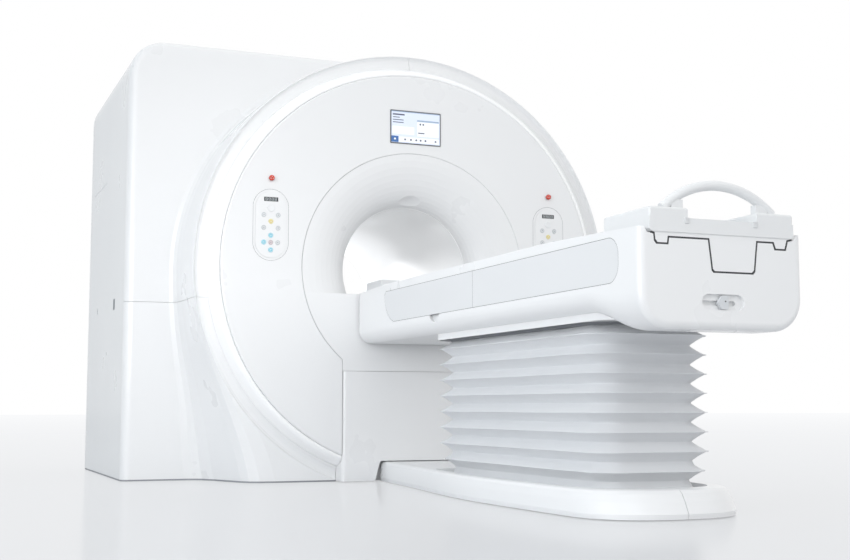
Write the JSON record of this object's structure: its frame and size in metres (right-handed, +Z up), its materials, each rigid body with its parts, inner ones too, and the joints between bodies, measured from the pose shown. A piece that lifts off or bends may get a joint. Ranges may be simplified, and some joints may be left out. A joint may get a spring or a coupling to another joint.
{
  "type": "mri scanner",
  "caption": "Whole-body scanner: white magnet housing with a round funnel-mouthed bore, and a docked patient table with sliding couch on a bellows-covered lift.",
  "frame": {"origin": "on the floor directly below the middle of the bore, on the underside of the magnet's skid frame", "axes": "+X across the bore, +Y along the bore from the patient table towards the rear, +Z up"},
  "size_m": [2.718, 4.652, 2.329],
  "materials": {
    "cover_white": "satin",
    "panel_grey": "satin",
    "steel_grey": "satin",
    "vessel_white": "satin",
    "bare_steel": "brushed",
    "coil_resin": "matte",
    "bellows_grey": "satin",
    "couch_grey": "satin",
    "bezel_dark": "satin",
    "screen": "gloss",
    "key_grey": "satin",
    "key_white": "satin",
    "key_amber": "satin",
    "key_blue": "satin",
    "key_pink": "satin",
    "stop_red": "gloss",
    "latch_grey": "satin"
  },
  "bodies": {
    "gantry": {"magnet_vessel": "vessel_white", "cold_head": "bare_steel", "gradient_coil": "coil_resin", "bore_liner": "cover_white", "couch_bridge": "cover_white", "front_cover_upper": "cover_white", "front_cover_lower_left": "cover_white", "front_cover_lower_right": "cover_white", "ring_rim": "cover_white", "front_disc": "cover_white", "bore_funnel": "cover_white", "docking_panel": "cover_white", "side_cover_left": "cover_white", "side_cover_right": "cover_white", "rear_cover": "cover_white", "rear_funnel": "cover_white", "screen_bezel": "bezel_dark", "screen_glass": "screen", "keypad_plate_left": "cover_white", "keypad_plate_right": "cover_white", "base_cover_left": "cover_white", "base_cover_right": "cover_white", "lift_column_outer": "steel_grey", "lift_drive": "steel_grey"},
    "lift_stage": {"lift_column_middle": "bare_steel"},
    "table": {"lift_column_inner": "bare_steel", "table_frame": "steel_grey", "table_cover": "cover_white", "side_panel_left": "panel_grey", "side_panel_right": "panel_grey", "bellows": "bellows_grey"},
    "couch": {"couch_board": "couch_grey", "couch_trolley": "couch_grey", "couch_end_rail": "couch_grey", "couch_handle": "couch_grey"},
    "latch": {"end_latch": "latch_grey"},
    "key_dial_left": {"key_dial_left": "key_white"},
    "key_up_outer_left": {"key_up_outer_left": "key_grey"},
    "key_up_inner_left": {"key_up_inner_left": "key_grey"},
    "key_amber_left": {"key_amber_left": "key_amber"},
    "key_mid_outer_left": {"key_mid_outer_left": "key_grey"},
    "key_mid_inner_left": {"key_mid_inner_left": "key_grey"},
    "key_blue_high_left": {"key_blue_high_left": "key_blue"},
    "key_low_outer_left": {"key_low_outer_left": "key_blue"},
    "key_low_centre_left": {"key_low_centre_left": "key_pink"},
    "key_low_inner_left": {"key_low_inner_left": "key_grey"},
    "key_blue_low_left": {"key_blue_low_left": "key_blue"},
    "emergency_stop_left": {"emergency_stop_left": "stop_red"},
    "key_dial_right": {"key_dial_right": "key_white"},
    "key_up_outer_right": {"key_up_outer_right": "key_grey"},
    "key_up_inner_right": {"key_up_inner_right": "key_grey"},
    "key_amber_right": {"key_amber_right": "key_amber"},
    "key_mid_outer_right": {"key_mid_outer_right": "key_grey"},
    "key_mid_inner_right": {"key_mid_inner_right": "key_grey"},
    "key_blue_high_right": {"key_blue_high_right": "key_blue"},
    "key_low_outer_right": {"key_low_outer_right": "key_blue"},
    "key_low_centre_right": {"key_low_centre_right": "key_pink"},
    "key_low_inner_right": {"key_low_inner_right": "key_grey"},
    "key_blue_low_right": {"key_blue_low_right": "key_blue"},
    "emergency_stop_right": {"emergency_stop_right": "stop_red"}
  },
  "joints": [
    {"name": "table_lift", "type": "slide", "parent": "gantry", "child": "table", "axis": [0, 0, 1], "range_m": [-0.42, 0], "deforming": ["bellows"]},
    {"name": "stage_lift", "type": "slide", "parent": "gantry", "child": "lift_stage", "axis": [0, 0, 1], "range_m": [-0.21, 0]},
    {"name": "couch_slide", "type": "slide", "parent": "table", "child": "couch", "axis": [0, 1, 0], "range_m": [0, 1.9]},
    {"name": "latch_slide", "type": "slide", "parent": "table", "child": "latch", "axis": [1, 0, 0], "range_m": [-0.055, 0.044]},
    {"name": "press_dial_left", "type": "slide", "parent": "gantry", "child": "key_dial_left", "axis": [0, 1, 0], "range_m": [0, 0.0012], "stiffness_N_per_m": 800},
    {"name": "press_up_outer_left", "type": "slide", "parent": "gantry", "child": "key_up_outer_left", "axis": [0, 1, 0], "range_m": [0, 0.0012], "stiffness_N_per_m": 800},
    {"name": "press_up_inner_left", "type": "slide", "parent": "gantry", "child": "key_up_inner_left", "axis": [0, 1, 0], "range_m": [0, 0.0012], "stiffness_N_per_m": 800},
    {"name": "press_amber_left", "type": "slide", "parent": "gantry", "child": "key_amber_left", "axis": [0, 1, 0], "range_m": [0, 0.0012], "stiffness_N_per_m": 800},
    {"name": "press_mid_outer_left", "type": "slide", "parent": "gantry", "child": "key_mid_outer_left", "axis": [0, 1, 0], "range_m": [0, 0.0012], "stiffness_N_per_m": 800},
    {"name": "press_mid_inner_left", "type": "slide", "parent": "gantry", "child": "key_mid_inner_left", "axis": [0, 1, 0], "range_m": [0, 0.0012], "stiffness_N_per_m": 800},
    {"name": "press_blue_high_left", "type": "slide", "parent": "gantry", "child": "key_blue_high_left", "axis": [0, 1, 0], "range_m": [0, 0.0012], "stiffness_N_per_m": 800},
    {"name": "press_low_outer_left", "type": "slide", "parent": "gantry", "child": "key_low_outer_left", "axis": [0, 1, 0], "range_m": [0, 0.0012], "stiffness_N_per_m": 800},
    {"name": "press_low_centre_left", "type": "slide", "parent": "gantry", "child": "key_low_centre_left", "axis": [0, 1, 0], "range_m": [0, 0.0012], "stiffness_N_per_m": 800},
    {"name": "press_low_inner_left", "type": "slide", "parent": "gantry", "child": "key_low_inner_left", "axis": [0, 1, 0], "range_m": [0, 0.0012], "stiffness_N_per_m": 800},
    {"name": "press_blue_low_left", "type": "slide", "parent": "gantry", "child": "key_blue_low_left", "axis": [0, 1, 0], "range_m": [0, 0.0012], "stiffness_N_per_m": 800},
    {"name": "stop_left", "type": "slide", "parent": "gantry", "child": "emergency_stop_left", "axis": [0, 1, 0], "range_m": [0, 0.0035], "stiffness_N_per_m": 900},
    {"name": "press_dial_right", "type": "slide", "parent": "gantry", "child": "key_dial_right", "axis": [0, 1, 0], "range_m": [0, 0.0012], "stiffness_N_per_m": 800},
    {"name": "press_up_outer_right", "type": "slide", "parent": "gantry", "child": "key_up_outer_right", "axis": [0, 1, 0], "range_m": [0, 0.0012], "stiffness_N_per_m": 800},
    {"name": "press_up_inner_right", "type": "slide", "parent": "gantry", "child": "key_up_inner_right", "axis": [0, 1, 0], "range_m": [0, 0.0012], "stiffness_N_per_m": 800},
    {"name": "press_amber_right", "type": "slide", "parent": "gantry", "child": "key_amber_right", "axis": [0, 1, 0], "range_m": [0, 0.0012], "stiffness_N_per_m": 800},
    {"name": "press_mid_outer_right", "type": "slide", "parent": "gantry", "child": "key_mid_outer_right", "axis": [0, 1, 0], "range_m": [0, 0.0012], "stiffness_N_per_m": 800},
    {"name": "press_mid_inner_right", "type": "slide", "parent": "gantry", "child": "key_mid_inner_right", "axis": [0, 1, 0], "range_m": [0, 0.0012], "stiffness_N_per_m": 800},
    {"name": "press_blue_high_right", "type": "slide", "parent": "gantry", "child": "key_blue_high_right", "axis": [0, 1, 0], "range_m": [0, 0.0012], "stiffness_N_per_m": 800},
    {"name": "press_low_outer_right", "type": "slide", "parent": "gantry", "child": "key_low_outer_right", "axis": [0, 1, 0], "range_m": [0, 0.0012], "stiffness_N_per_m": 800},
    {"name": "press_low_centre_right", "type": "slide", "parent": "gantry", "child": "key_low_centre_right", "axis": [0, 1, 0], "range_m": [0, 0.0012], "stiffness_N_per_m": 800},
    {"name": "press_low_inner_right", "type": "slide", "parent": "gantry", "child": "key_low_inner_right", "axis": [0, 1, 0], "range_m": [0, 0.0012], "stiffness_N_per_m": 800},
    {"name": "press_blue_low_right", "type": "slide", "parent": "gantry", "child": "key_blue_low_right", "axis": [0, 1, 0], "range_m": [0, 0.0012], "stiffness_N_per_m": 800},
    {"name": "stop_right", "type": "slide", "parent": "gantry", "child": "emergency_stop_right", "axis": [0, 1, 0], "range_m": [0, 0.0035], "stiffness_N_per_m": 900}
  ],
  "couplings": [
    {"joint": "stage_lift", "follows": "table_lift", "ratio": 0.5}
  ]
}
